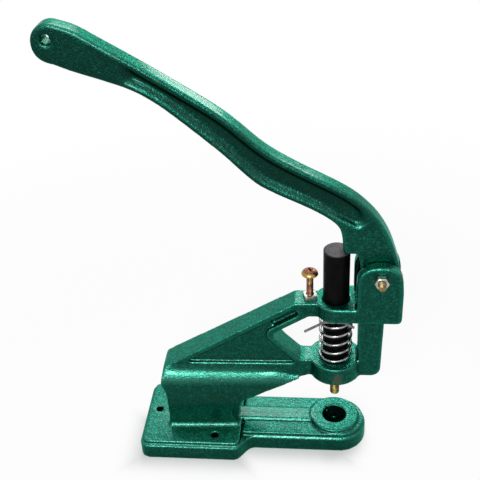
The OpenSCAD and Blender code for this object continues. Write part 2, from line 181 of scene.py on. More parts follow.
# %% Words for places
def along(place, axis):
    """One of the three Object coordinates."""
    return place.node("ShaderNodeSeparateXYZ", {}, {0: place}, axis)


def abs_along(place, axis, middle):
    """How far one Object coordinate lies from a middle value, in metres."""
    off = along(place, axis) - middle
    return off.node("ShaderNodeMath", {"operation": "ABSOLUTE"}, {0: off})


def apart(place, point):
    """Distance from a point, in metres."""
    distance = {"operation": "DISTANCE"}
    return place.node("ShaderNodeVectorMath", distance, {0: place, 1: point}, "Value")


def measured(place, name):
    """A number that was measured on the mesh and is kept with its points under that name."""
    return place.node("ShaderNodeAttribute", {"attribute_name": name}, {}, "Fac")


def zone(place, limits):
    """A product of smooth steps, each (axis, where it is 0, where it is 1) in millimetres. The
    axis called across is the distance from the press's middle plane."""
    inside = 1.0
    for axis, outer, inner in limits:
        value = abs_along(place, 1, 0.0) if axis == "across" else along(place, "xyz".index(axis))
        inside = ramp(value, outer * MM, inner * MM) * inside
    return inside


print("place words: along, abs_along, apart, measured, zone")

# %% [markdown]
# ## Hammered green enamel
# The casting and the lever are painted with a metallic enamel that dries in small dimples. Flakes
# in it make neighbouring spots lie at different angles. Cells of about one and a half millimetres
# give each dimple its own brightness, with a few light flecks, and a bump bends the light at their
# rims. Two numbers are measured on the mesh later: proud, how far a point stands out, and upward,
# how far it faces up. The colour is built one layer over the other. Upward faces get a painted
# paleness that stands for the light from above, so they look pale and upright faces deep green.
# Proud edges are lighter, partly worn paint and partly a painted highlight. Hollows get painted
# shade, the column's rounded shoulder a painted highlight, and the lever's upper part painted
# shade, less on its upward faces. Iron shows in rubbed spots, and painted shade darkens the gap
# between the fork's ears and the scoop under the column.

# %% Colours and zones of the enamel
paint = {  # red, green and blue, as light
    "upright": (0.0012, 0.040, 0.025),
    "flake": (0.004, 0.085, 0.058),
    "cloudy": (0.002, 0.050, 0.032),
    # painted light: upward faces paler, as if lit from above
    "painted_top_light": (0.026, 0.215, 0.155),
    # lighter edges: partly worn paint, partly a painted edge highlight
    "thin_paint_and_edge_highlight": (0.012, 0.19, 0.13),
    "fleck": (0.035, 0.21, 0.16),
    # painted shade for hollows and creases
    "painted_crevice_shade": (0.0006, 0.022, 0.013),
    # painted highlight for the column's shoulder
    "painted_shoulder_highlight": (0.045, 0.235, 0.165),
    # painted shade for the lever's upper part
    "painted_lever_shade": (0.0005, 0.016, 0.010),
    "iron": (0.040, 0.034, 0.016),
    # painted shade for the fork's gap and the scoop under the column
    "painted_gap_shade": (0.0012, 0.006, 0.004),
}
glint = (0.12, 0.85, 0.65, 1)
# Places where a layer shows: (axis, where it is 0, where it is 1) in millimetres.
# shoulder: where the painted highlight lies
shoulder = [("across", 10.5, 12.5), ("x", -30, -60), ("z", 74, 82), ("z", 94, 89)]
# handle: the lever's upper part, which gets painted shade
handle = [("z", 235, 275)]
# fork_gap and scoop: where painted shade lies
fork_gap = [("across", 15.0, 12.5), ("x", 12, 17), ("z", 166, 174), ("z", 214, 206)]
scoop = [("across", 18.8, 16.5), ("x", -98.5, -95.5), ("x", -83, -87), ("z", 21, 26), ("z", 54, 44)]
dimple, grain_size, cloud_size = 1.4 * MM, 1.1 * MM, 18 * MM
print(len(paint), "colours in the enamel")


# %% Green enamel
def rubbed(place, edge, marks):
    """How far the paint is rubbed off: in patches along proud edges, and inside each mark, where
    the distance from its point, counted in its half sizes, plus ragged noise is small."""
    worn = ramp(edge * noise(place, 6 * MM, 4.0), 0.6, 0.7) * 0.5
    for point, half_sizes in marks:
        off = place.node("ShaderNodeVectorMath", {"operation": "SUBTRACT"}, {0: place, 1: point})
        counted = off.node("ShaderNodeVectorMath", {"operation": "DIVIDE"}, {0: off, 1: half_sizes})
        ragged = apart(counted, (0, 0, 0)) + noise(place, 3 * MM, 6.0) * 1.6
        worn = worn.sum_with("MAXIMUM", worn, ramp(ragged, 1.95, 1.2) * 0.75)
    return worn


def hammered_green(name, marks, seam_width, painted_gap_shade, flecks):
    """Enamel with dimples. marks are (point, half sizes along X, Y, Z) of spots rubbed down to
    brown iron, seam_width that of the mould's seam, the argument after it how strong the painted
    shade in the fork's gap and the scoop is, flecks how light the brightest dimples are. Each
    layer is (its share, its colour)."""
    material, place = begin(name)
    cells = place.node("ShaderNodeTexVoronoi", {}, {"Vector": place, "Scale": 1 / dimple})
    flake = along(cells.other("Color"), 0)
    grain, cloud = noise(place, grain_size, 3.0), noise(place, cloud_size, 3.0)
    spot = ramp(flake * 0.6 + grain * 0.6, 0.4, 1.0)
    proud = measured(place, "proud")
    edge, painted_crevice_shade = ramp(proud, 0.10, 0.42), ramp(proud, -0.08, -0.4)
    painted_top_light = ramp(measured(place, "upward"), -0.02, 0.8)
    seam = ramp(abs_along(place, 1, 0.0), seam_width, 0)
    worn = rubbed(place, edge, marks)
    layers = [
        (ramp(cloud, 0.35, 0.7) * 0.25, "cloudy"),
        # painted light: paler where the surface faces up
        (painted_top_light * (0.35 + spot * 0.65), "painted_top_light"),
        # lighter edges: partly worn paint, partly a painted edge highlight
        (edge * 0.25, "thin_paint_and_edge_highlight"),
        (ramp(flake, 0.88, 0.98) * flecks, "fleck"),
        # painted shade where the skin lies lower than its surroundings
        (painted_crevice_shade * 0.6, "painted_crevice_shade"),
        # painted highlight along the column's shoulder
        (zone(place, shoulder) * 0.34, "painted_shoulder_highlight"),
        # painted shade on the lever above 235 mm, less on its upward faces
        (zone(place, handle) * (0.75 - painted_top_light * 0.42), "painted_lever_shade"),
        (worn, "iron"),
        # painted shade between the fork's ears and in the scoop under the column
        ((zone(place, fork_gap) + zone(place, scoop) * 0.8) * painted_gap_shade, "painted_gap_shade"),
    ]
    colour = tint(spot, paint["upright"], paint["flake"])
    for share, layer in layers:
        colour = tint(share, colour, paint[layer])
    return dress(
        material,
        {
            "Base Color": colour,
            "Metallic": 0.97 - worn * 0.8,
            "Roughness": 0.24 + grain * 0.08 + worn * 0.35,
            "Normal": bumps(cells * -0.35 + grain + cloud * 1.2 + seam * 0.35, 0.6 * MM, 0.75),
            "Coat Weight": 0.09 + painted_top_light * 0.12 - worn * 0.09,
            "Coat Roughness": 0.12,
            "Specular Tint": glint,
        },
    )


print("enamel words: rubbed, hammered_green")

# %% Enamel of the casting and of the lever
casting_marks = [
    ((0.0545, -0.0195, 0.2060), (0.0016, 0.006, 0.0045)),  # front edge of the near ear
    ((0.0440, -0.0195, 0.2142), (0.0022, 0.004, 0.0012)),  # its top
    ((0.0560, -0.0195, 0.1700), (0.0016, 0.003, 0.0022)),  # its lower corner
    ((0.0025, -0.0245, 0.0915), (0.0060, 0.006, 0.0080)),  # lower guide
]
lever_marks = [((0.0405, 0.0, 0.247), (0.002, 0.002, 0.002))]
# the casting gets painted shade in the fork's gap and the scoop, the lever none
enamel_casting = hammered_green(
    "hammered_green_casting", casting_marks, seam_width=0.6 * MM, painted_gap_shade=0.9, flecks=0.12
)
enamel_lever = hammered_green(
    "hammered_green_lever", lever_marks, seam_width=0.5 * MM, painted_gap_shade=0.0, flecks=0.16
)
print("green enamel with", len(casting_marks), "rubbed spots on the casting")

# %% [markdown]
# ## Metal finishes
# The ram is steel with a black oxide skin, worn grey on the end that the lever's nose rubs. The
# spring is bright drawn wire and the split pin a duller one. The nuts have bright zinc plate, the
# bolt and the stop screw yellow passivated zinc with its faint rainbow, and the stud a dull brass
# colour. Plate is never even, so each one has cloudy tints, fine scratches and a roughness that
# wanders. The stop screw's shank is coppery, the rim of its head brassy and its crown reddish, so
# its colour also follows the height.


# %% Black oxide on the ram
def black_oxide(rim_heights, face_heights):
    """Near black; it lightens a little between the rim's two heights, and between the top face's
    two heights it turns to grey metal with turning rings."""
    material, place = begin("black_oxide")
    height = along(place, 2)
    level = place.node("ShaderNodeVectorMath", {"operation": "MULTIPLY"}, {0: place, 1: (1, 1, 0)})
    out = apart(level, (0, 0, 0))
    rings = noise(out.node("ShaderNodeCombineXYZ", {}, {0: out}), 0.7 * MM, 3.0)
    cloud = noise(place, 8 * MM, 4.0)
    drawn = place.node("ShaderNodeMapping", {}, {0: place, "Scale": (1, 1, 0.06)})
    streak = noise(drawn, 1.2 * MM, 3.0)
    top, rim = ramp(height, *face_heights), ramp(height, *rim_heights) * 0.35
    patchy, turned = streak * 0.6 + cloud * 0.5, rings * 0.7 + cloud * 0.5
    black = tint(ramp(patchy, 0.4, 0.85), (0.0006, 0.0006, 0.0007), (0.0030, 0.0029, 0.0032))
    grey = tint(ramp(turned, 0.35, 0.85), (0.025, 0.024, 0.027), (0.10, 0.097, 0.105))
    return dress(
        material,
        {
            "Base Color": tint(top.sum_with("MAXIMUM", top, rim), black, grey),
            "Metallic": top * 0.75,
            "Roughness": 0.34 + cloud * 0.12 + top * 0.12,
            "Normal": bumps(rings * top * 0.8 + streak * 0.4, 0.12 * MM, 0.6),
            "Specular IOR Level": 0.035,
        },
    )


oxide = black_oxide((0.2196, 0.2203), (0.2203, 0.2208))
print("black oxide:", len(oxide.node_tree.nodes), "nodes")


# %% Plated and drawn metal
def plated(name, dark, light, tinge, rough, scratch, bands=()):
    """Metal whose colour wanders from dark to light, tinged in patches, with fine scratches of
    that strength. bands are (height where it starts, height where it is full, colour)."""
    material, place = begin(name)
    cloud = noise(place, 4 * MM, 4.0)
    shifted = place.node("ShaderNodeVectorMath", {}, {0: place, 1: (0.3, 0.1, 0.2)})
    patch = noise(shifted, 5.5 * MM, 2.0)
    brushed = place.node("ShaderNodeMapping", {}, {0: place, "Scale": (1, 0.2, 1)})
    fine = noise(brushed, 0.5 * MM, 2.0)
    colour = tint(ramp(cloud, 0.3, 0.7), dark, light)
    colour = tint(ramp(patch, 0.48, 0.68) * 0.7, colour, tinge)
    for start, full, band in bands:
        colour = tint(ramp(along(place, 2) + cloud * (0.8 * MM), start, full) * 0.8, colour, band)
    return dress(
        material,
        {
            "Base Color": colour,
            "Metallic": 1.0,
            "Roughness": rough + cloud * 0.12 + fine * 0.08,
            "Normal": bumps(fine * 0.6 + cloud * 0.4, 0.1 * MM, scratch),
        },
    )


print("plated metal: cloudy colour, tinged patches, bands, fine scratches")

# %% The metals of this press
screw_bands = [(0.1940, 0.1948, (0.38, 0.27, 0.065)), (0.1976, 0.1990, (0.20, 0.062, 0.066))]
coppery, sandy, plum = (0.085, 0.050, 0.028), (0.36, 0.23, 0.12), (0.20, 0.075, 0.060)
metals = {  # dark, light and tinge, roughness, strength of the scratches
    "drawn_wire": ((0.19, 0.20, 0.20), (0.40, 0.41, 0.41), (0.14, 0.135, 0.13), 0.14, 0.25),
    "pin_wire": ((0.12, 0.125, 0.13), (0.24, 0.245, 0.25), (0.09, 0.09, 0.09), 0.28, 0.3),
    "bright_zinc": ((0.27, 0.27, 0.25), (0.52, 0.515, 0.48), (0.36, 0.32, 0.23), 0.26, 0.35),
    "old_yellow_zinc": ((0.11, 0.085, 0.035), (0.27, 0.21, 0.10), (0.10, 0.075, 0.04), 0.30, 0.4),
    "dull_brass": ((0.085, 0.07, 0.02), (0.21, 0.17, 0.055), (0.06, 0.05, 0.02), 0.28, 0.4),
    "yellow_zinc": (coppery, sandy, plum, 0.20, 0.3, screw_bands),
}
metal = {name: plated(name, *values) for name, values in metals.items()}
print("finishes:", len(bpy.data.materials), "materials so far")

# %% [markdown]
# ## From arrays to a piece
# A surface here is a grid of points, worked out as whole arrays, and the quads between
# neighbouring rows and columns. Where a row shrinks to a point the doubled corners are merged,
# which closes the pole. A piece then gets its finish, the CAD body that it moves with, and the CAD
# solid that it stands for.

# %% Grids and pieces
merge_distance = 1e-6


def quads(rows, columns, closed_rows=False):
    """Corner numbers of the quads of a grid whose columns close on themselves."""
    last = rows if closed_rows else rows - 1
    i, j = np.meshgrid(np.arange(last), np.arange(columns), indexing="ij")
    after, beside = (i + 1) % rows, (j + 1) % columns
    corners = [i * columns + j, i * columns + beside, after * columns + beside, after * columns + j]
    return np.stack(corners, -1).reshape(-1, 4)


def joined(*surfaces):
    """Several (points, quads) surfaces as one: later corner numbers move up by the points before
    them."""
    starts = np.cumsum([0] + [len(points) for points, _ in surfaces[:-1]])
    return (
        np.concatenate([points for points, _ in surfaces]),
        np.concatenate([faces + start for (_, faces), start in zip(surfaces, starts)]),
    )


def mesh_of(name, surface, crease=40):
    """A mesh of (points in millimetres, quads): doubles merged, faces turned outwards, and edges
    sharp where the faces meet at more than that many degrees."""
    points, faces = surface
    mesh = bpy.data.meshes.new(name)
    mesh.from_pydata((points * MM).tolist(), [], faces.tolist())
    shape = bmesh.new()
    shape.from_mesh(mesh)
    bmesh.ops.remove_doubles(shape, verts=shape.verts, dist=merge_distance)
    bmesh.ops.recalc_face_normals(shape, faces=shape.faces)
    shape.to_mesh(mesh)
    shape.free()
    mesh.shade_smooth()
    mesh.set_sharp_from_angle(angle=np.radians(crease))
    return mesh


def piece(name, mesh, finish, body, slot, *nodes):
    """An object at the origin with that mesh, riding on a body and standing for CAD nodes."""
    made = bpy.data.objects.new(name, mesh)
    scene.collection.objects.link(made)
    mesh.materials.clear()
    mesh.materials.append(finish)
    mesh.polygons.foreach_set("use_smooth", np.ones(len(mesh.polygons), bool))
    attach(made, body)
    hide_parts(*nodes)
    print(f"{name}: {len(mesh.vertices)} points, stands for {', '.join(nodes)}")
    return made


print("a ring of 4 columns on 3 rows has", len(quads(3, 4)), "quads")

# %% [markdown]
# ## The casting
# Foot, tongue, column, arm and guides were poured in one mould, so no edge of it is sharp and
# every inner corner has a fillet. Bevels would have to agree at hundreds of crossing edges.
# Instead the three CAD solids are copied, resampled together on a fine cubic grid, and each point
# is moved towards the mean of its neighbours a few times, which rounds edges and fills corners
# alike. Drilled holes are then set back to their true radius. A grid fine enough for the small
# edges has far more triangles than flat faces need, so half of them are taken out at the end,
# where the skin is flat.


# %% Resampling and softening
def modified(mesh, kind, **settings):
    """The mesh that one modifier makes of a mesh, which it replaces."""
    holder = bpy.data.objects.new("holder", mesh)
    scene.collection.objects.link(holder)
    modifier = holder.modifiers.new(kind.lower(), kind)
    for name, value in settings.items():
        setattr(modifier, name, value)
    graph = bpy.context.evaluated_depsgraph_get()
    made = bpy.data.meshes.new_from_object(holder.evaluated_get(graph))
    bpy.data.objects.remove(holder)
    bpy.data.meshes.remove(mesh)
    return made


def resampled(nodes, size):
    """A copy of CAD solids as one skin of even quads of that size: a voxel remesh of their merged
    triangles."""
    shape = bmesh.new()
    for node in nodes:
        shape.from_mesh(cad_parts[node].data)
    bmesh.ops.remove_doubles(shape, verts=shape.verts, dist=merge_distance)
    mesh = bpy.data.meshes.new("rough_" + nodes[0])
    shape.to_mesh(mesh)
    shape.free()
    return modified(mesh, "REMESH", mode="VOXEL", voxel_size=size)


def softened(points, edges, passes, share=0.5):
    """Each pass moves a point part of the way to its neighbours' mean: p + share * (mean - p)."""
    ends = np.concatenate([edges, edges[:, ::-1]])
    count = np.maximum(np.bincount(ends[:, 0], minlength=len(points)), 1)[:, None]
    for _ in range(passes):
        sums = [np.bincount(ends[:, 0], points[ends[:, 1], k], len(points)) for k in range(3)]
        points = points + share * (np.stack(sums, 1) / count - points)
    return points


print("tools for a casting: modified, resampled, softened")


# %% Reading a skin and boring its holes
def corners_and_edges(mesh):
    """Point and edge arrays of a mesh."""
    points = np.zeros(len(mesh.vertices) * 3, np.float32)
    edges = np.zeros(len(mesh.edges) * 2, np.int32)
    mesh.vertices.foreach_get("co", points)
    mesh.edges.foreach_get("vertices", edges)
    return points.reshape(-1, 3).astype(float), edges.reshape(-1, 2)


def normals_of(mesh):
    """Point normals of a mesh."""
    normals = np.zeros(len(mesh.vertices) * 3, np.float32)
    mesh.vertex_normals.foreach_get("vector", normals)
    return normals.reshape(-1, 3).astype(float)


def put_back(mesh, points):
    """Puts moved points back into their mesh."""
    mesh.vertices.foreach_set("co", points.astype(np.float32).ravel())
    mesh.update()


def rebored(points, normals, centre, axis, radius, span):
    """Points of a drilled wall, which face its axis and lie near its radius, set to exactly that
    radius: centre + out * radius / distance. The hole is given in millimetres."""
    near, facing_share = 1.0 * MM, 0.75
    centre, radius, (start, stop) = np.array(centre) * MM, radius * MM, np.array(span) * MM
    flat = [k for k in range(3) if k != axis]
    out = points[:, flat] - centre
    far = np.linalg.norm(out, axis=1)
    facing = np.abs((normals[:, flat] * out).sum(1)) / np.maximum(far, 1e-9)
    wall = (np.abs(far - radius) < near) & (facing > facing_share)
    wall &= (points[:, axis] > start) & (points[:, axis] < stop)
    moved = points.copy()
    moved[np.ix_(wall, flat)] = centre + out[wall] * (radius / far[wall])[:, None]
    return moved


print("tools for a skin: corners_and_edges, normals_of, put_back, rebored")


# %% Cast skins with true bores
def cast_skin(nodes, size, passes, bores, eased, kept=1.0):
    """The softened and eased skin of CAD solids, with two attributes: proud, how far a point
    stands out of its surroundings in millimetres, and upward, how far it faces up. Of its
    triangles a share is kept, fewest where it is flat."""
    mesh = resampled(nodes, size)
    points, edges = corners_and_edges(mesh)
    points = eased(softened(points, edges, passes), edges)
    put_back(mesh, points)
    for hole in bores:
        points = rebored(points, normals_of(mesh), *hole)
    put_back(mesh, points)
    as_wide = int(12 * (1.2 * MM / size) ** 2)  # as many passes as reach equally far on any grid
    stands = ((points - softened(points, edges, as_wide)) * normals_of(mesh)).sum(1)
    for name, values in (("proud", stands / MM), ("upward", normals_of(mesh)[:, 2])):
        attribute = mesh.attributes.new(name, "FLOAT", "POINT")
        attribute.data.foreach_set("value", values.astype(np.float32))
    return modified(mesh, "DECIMATE", ratio=kept) if kept < 1 else mesh


def smooth_step(value, start, stop):
    """0 at start, 1 at stop and beyond, 3 t t - 2 t t t between; start may be the larger one."""
    t = np.clip((value - start) / (stop - start), 0, 1)
    return t * t * (3 - 2 * t)


def nudged(points, axis, amount, x, y, z):
    """Points moved along one axis by an amount times the smooth steps of their x, y and z, all in
    millimetres."""
    steps = [smooth_step(points[:, k], *np.array(span) * MM) for k, span in enumerate((x, y, z))]
    moved = points.copy()
    moved[:, axis] += amount * MM * steps[0] * steps[1] * steps[2]
    return moved


print("a smooth step is half way up in the middle:", smooth_step(0.5, 0, 1))

# %% [markdown]
# ## Easing the casting
# A casting is never quite what its drawing says. Against the real one, the column's shoulder is
# one long bend, the arm's underside hangs a few millimetres lower beside the ram, and some edges
# of the fork's ears and of the column's back stand elsewhere. Short tables hold these differences,
# in millimetres, and the points are moved by them with smooth steps, so that no crease shows.

# %% Easing of the casting
bend_height = [32, 38, 44, 50, 55, 60, 66, 72, 77, 80, 82, 84, 86, 88, 89.5, 90.5, 92, 94, 97]
bend_share = [1, 1.008, 1.029, 1.061, 1.083, 1.099, 1.078, 1.02, 0.988, 0.98]
bend_share += [0.977, 0.977, 0.982, 0.991, 1.057, 1.073, 1.075, 1.03, 1]
under_x = [-90, -76, -56, -46, -37, -30, -25]
under_z = [55, 63.1, 74.7, 80.6, 86.2, 90.5, 93.5]
under_sag = [0, 1.8, 2.1, 2.7, 3.6, 1.8, 0]
edge_moves = [  # along X by an amount, growing over spans of x, y and z
    (-2.4, (44, 57), (8, 10), (194, 214)),  # far ear, upper front edge
    (-1.5, (26, 19), (8, 10), (168, 176)),  # far ear, back edge
    (1.3, (48, 56), (-8, -10), (206, 184)),  # near ear, lower front edge
    (-1.0, (-150, -160), (60, 50), (66, 80)),  # back of the column, upper part
]


def eased_casting(points, edges):
    """y is scaled by the bend's share at that height, which fades out towards the ram. The hollow
    above the bend is softened further, the arm's underside sinks by its sag, then four edges
    move."""
    x, _, z = points.T / MM
    fade = np.interp(x, [-80, -60], [1, 0])
    hollow = np.interp(z, [82, 86, 95, 97], [0, 1, 1, 0])
    eased = points.copy()
    eased[:, 1] *= 1 + (np.interp(z, bend_height, bend_share) - 1) * fade
    eased += (hollow * fade)[:, None] * (softened(eased, edges, 30) - eased)
    above = z - np.interp(x, under_x, under_z)
    sag = np.interp(x, under_x, under_sag) * smooth_step(above, 14, 2) * smooth_step(above, -14, -8)
    eased[:, 2] -= sag * MM
    for amount, *spans in edge_moves:
        eased = nudged(eased, 0, amount, *spans)
    return eased


print(f"bend up to {max(bend_share) - 1:.1%} wider, underside up to {max(under_sag)} mm lower")

# %% Casting
casting_bores = [  # centre, axis, radius and span along the axis, in millimetres
    ((0, 0), 2, 11.75, (84, 170)),  # ram's two guides
    ((0, 0), 2, 11.5, (0, 25)),  # die socket
    ((-23.4, 0), 2, 3.25, (154, 170)),  # stop screw
    ((38, 202), 1, 3.225, (-20, 20)),  # pivot bolt
    ((-116.5, -29.5), 2, 3.5, (0, 23)),  # bench screws
    ((-116.5, 29.5), 2, 3.5, (0, 23)),
    ((-176.5, 2), 2, 3.5, (0, 23)),
]
casting_nodes, casting_grid = ["base", "arm", "head"], 0.85 * MM
casting_mesh = cast_skin(casting_nodes, casting_grid, 3, casting_bores, eased_casting, kept=0.5)
piece("casting", casting_mesh, enamel_casting, "body", "green_paint", "base", "arm", "head")

# %% [markdown]
# ## The lever
# The lever is a second casting: a long arm with a channel down each side, a round grip end with a
# hole, and a nose over the ram. It is softened in the same way, with more passes, because hands
# and the tumbling barrel have rounded it. Its grip end sits a little higher than the solid's, so
# it is lifted.

# %% Lever
lever_bores = [((38, 202), 1, 3.225, (-10, 10)), ((-221, 412), 1, 4.0, (-10, 10))]


def eased_lever(points, _):
    """The round grip end lifted by a millimetre, and its upper part by another."""
    lifted = nudged(points, 2, 1.0, (-205, -225), (-60, -50), (300, 310))
    return nudged(lifted, 2, 1.0, (-170, -205), (-60, -50), (402, 418))


lever_mesh = cast_skin(["lever"], 0.95 * MM, 9, lever_bores, eased_lever)
piece("hand_lever", lever_mesh, enamel_lever, "lever_arm", "green_paint", "lever")

# %% [markdown]
# ## The return spring
# One wire is wound round the ram. Its middle line is a helix whose first and last half turn
# flatten, so that the ends bear squarely. A round profile is carried along that line, square to
# it, and the ends are cut off flat. The spring shortens as the ram goes down, so it is squashed
# towards its upper end, which moves along.


# %% A profile carried along a path
def carried(path, profile, scale):
    """Ring i is path[i] + scale[i] * (x * side + y * top) for each (x, y) of the profile. Here
    side = direction x up and top = side x direction. A ring of scale 0 closes the surface."""
    direction = np.gradient(path, axis=0)
    direction /= np.linalg.norm(direction, axis=1)[:, None]
    side = np.cross(direction, (0, 0, 1))
    side /= np.linalg.norm(side, axis=1)[:, None]
    top = np.cross(side, direction)
    rings = path[:, None] + scale[:, None, None] * (
        profile[None, :, :1] * side[:, None] + profile[None, :, 1:] * top[:, None]
    )
    return rings.reshape(-1, 3), quads(len(path), len(profile))


def blunt_ends(path, bevel):
    """The path with both end points doubled and an inner point a bevel from each end, and the ring
    scale there."""
    first, last = path[1] - path[0], path[-2] - path[-1]
    first, last = first / np.linalg.norm(first), last / np.linalg.norm(last)
    tiny, end_face = 1e-4, 0.8
    start = [path[0], path[0] + tiny * first, path[0] + bevel * first]
    stop = [path[-1] + bevel * last, path[-1] + tiny * last, path[-1]]
    longer = np.concatenate([start, path[2:-2], stop])
    scale = np.ones(len(longer))
    scale[[0, -1]], scale[[1, -2]] = 0.0, end_face
    return longer, scale


def circle(radius, count):
    """Points of a circle, as an array of (x, y)."""
    turn = np.arange(count) * 2 * np.pi / count
    return radius * np.stack([np.cos(turn), np.sin(turn)], 1)


print("tools for wire: carried, blunt_ends, circle")

# %% Spring
wire, coil_radius, coil_low, coil_high = 2.6, 14.2, 104.5, 147.4  # millimetres
turns, lead, first_angle = 4.75, 0.5, -190
t = np.linspace(0, turns, int(turns * 64) + 1)
pitch = (coil_high - coil_low) / (turns - lead)
rise = np.where(t < lead, t * t / (2 * lead), t - lead / 2)
rise = np.where(t > turns - lead, turns - lead - (turns - t) ** 2 / (2 * lead), rise) * pitch
angle = np.radians(first_angle + 360 * t)
helix = np.stack([coil_radius * np.cos(angle), coil_radius * np.sin(angle), coil_low + rise], 1)
tangent_in = np.array([np.sin(angle[0]), -np.cos(angle[0]), 0.0])
tangent_out = np.array([-np.sin(angle[-1]), np.cos(angle[-1]), 0.0])
helix = np.concatenate([[helix[0] + wire * tangent_in], helix, [helix[-1] + wire * tangent_out]])
helix, end_scale = blunt_ends(helix, 0.3)
spring_mesh = mesh_of("spring_wire", carried(helix, circle(wire / 2, 18), end_scale))
wire_steel = metal["drawn_wire"]
spring = piece("spring_wire", spring_mesh, wire_steel, "plunger", "spring_steel", "return_spring")
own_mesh(spring)
print(f"spring: {turns} turns, pitch {pitch:.2f} mm")

# %% [markdown]
# ## The split pin
# A split pin is one half-round wire folded on itself: the fold is the eye, and the two halves
# together fill the hole. Here the eye stands behind the ram and the legs are bent apart in front
# of it, under the guide. Its middle line is a row of straight runs joined by bends, and a
# half-round profile is carried along it.


# %% Rounded path
def rounded_path(corners, radii, step=6):
    """Straight runs between corners, each corner replaced by points of a smooth bend of about that
    radius: the quadratic curve between the two points that lie one radius before and after it."""
    middle = corners[1:-1]
    back, ahead = corners[:-2] - middle, corners[2:] - middle
    reach = np.array(radii)[:, None]
    start = middle + reach * back / np.linalg.norm(back, axis=1)[:, None]
    stop = middle + reach * ahead / np.linalg.norm(ahead, axis=1)[:, None]
    s = np.linspace(0, 1, step)[None, :, None]
    bends = (1 - s) ** 2 * start[:, None] + 2 * s * (1 - s) * middle[:, None]
    bends = bends + s * s * stop[:, None]
    return np.concatenate([corners[:1], bends.reshape(-1, 3), corners[-1:]])


print("a single corner becomes", len(rounded_path(np.eye(3), [0.5])) - 2, "points of a bend")

# %% Split pin
pin_height, leg_front, half = 151.3, -13.3, 0.7  # millimetres, as all of this cell
left_bend, left_leg, right_bend, right_leg = -10.5, 22, 7, 11.5
eye_radius, eye_middle, wire_radius = 2.35, 15.6, 1.4
lean = np.radians(38)
left_tip = [left_bend - left_leg * np.cos(lean), leg_front - left_leg * np.sin(lean)]
right_tip = [right_bend + right_leg * np.cos(lean), leg_front - right_leg * np.sin(lean)]
loop = np.radians(np.linspace(255, -75, 29))
eye_ring = np.stack([eye_radius * np.cos(loop), eye_middle + eye_radius * np.sin(loop)], 1)
left_side = [left_tip, [left_bend, leg_front], [-half, leg_front]]
right_side = [[half, leg_front], [right_bend, leg_front], right_tip]
plan = np.concatenate([left_side, eye_ring, right_side])
corners = np.column_stack([plan, np.full(len(plan), pin_height)])
bend = [1.6, 1.0] + [0.12] * len(eye_ring) + [1.0, 1.6]
pin_path, pin_scale = blunt_ends(rounded_path(corners, bend), 0.25)
arc = np.radians(np.linspace(90, 270, 11))
round_side = wire_radius * np.stack([np.cos(arc), np.sin(arc)], 1)
half_round = np.concatenate([round_side, [[0.0, -1.1], [0.0, 1.1]]]) + (0.65, 0)
pin_mesh = mesh_of("split_pin_wire", carried(pin_path, half_round, pin_scale), 50)
piece("split_pin_wire", pin_mesh, metal["pin_wire"], "plunger", "bright_zinc", "split_pin")

# %% [markdown]
# ## Threads
# A thread is a round rod whose radius also depends on how far along the turn a point lies. With u
# the part of a pitch that is left over at height z and angle a, the radius falls from the crest to
# the root and back as u goes from 0 to 1. One grid of heights and angles gives rod, thread and end
# bevels together.


# %% Threaded rod
def threaded_rod(radius, low, high, thread_low, thread_high, pitch, bevel):
    """u = frac(z / pitch - a / 2 pi); r = radius - depth * (1 - |2 u - 1|) between the thread's
    ends, with flat crests and roots, held inside a 45 degree bevel at both ends of the rod."""
    sides, rows_per_pitch, depth = 48, 9, 0.55 * pitch
    rows = np.linspace(low, high, int((high - low) / pitch * rows_per_pitch))
    z = np.concatenate([[low], rows, [high]])[:, None]
    a = (np.arange(sides) * 2 * np.pi / sides)[None, :]
    u = (z / pitch - a / (2 * np.pi)) % 1.0
    fade = np.clip(np.minimum(z - thread_low, thread_high - z) / pitch + 0.5, 0, 1)
    r = radius - depth * fade * np.clip(1.15 * (1 - np.abs(2 * u - 1)) - 0.1, 0, 1)
    r = np.minimum(r, radius - bevel + np.minimum(z - low, high - z))
    r[[0, -1]] = 0
    points = np.stack([r * np.cos(a), r * np.sin(a), z + 0 * a], -1)
    return points.reshape(-1, 3), quads(len(z), sides)


def across(surface, centre):
    """A surface that stands on +Z, laid along +Y through a point: (x, y, z) becomes (x, z, -y)."""
    points, faces = surface
    return points[:, [0, 2, 1]] * (1, 1, -1) + np.array(centre), faces


def raised(surface, centre):
    """A surface moved to a point."""
    return surface[0] + np.array(centre), surface[1]


print("points in 10 mm of a 1 mm thread:", len(threaded_rod(3, 0, 10, 0, 10, 1, 0.5)[0]))

# %% Die stud
stud_low, stud_high = 54, 95.8
stud_rod = threaded_rod(4.48, stud_low, stud_high, stud_low, stud_high, pitch=1.25, bevel=0.8)
stud_mesh = mesh_of("die_stud_thread", stud_rod, 60)
piece("die_stud_thread", stud_mesh, metal["dull_brass"], "plunger", "brassed_steel", "die_stud")

# %% [markdown]
# ## Nuts and heads
# A hexagon nut is a prism cut by two cones, which leave the curved bevels at its corners. In polar
# form that is simple: at each height the outline is the smaller of the polygon's radius and the
# cone's radius. The same rule makes the square nut and the bolt's head, with a hole or without.


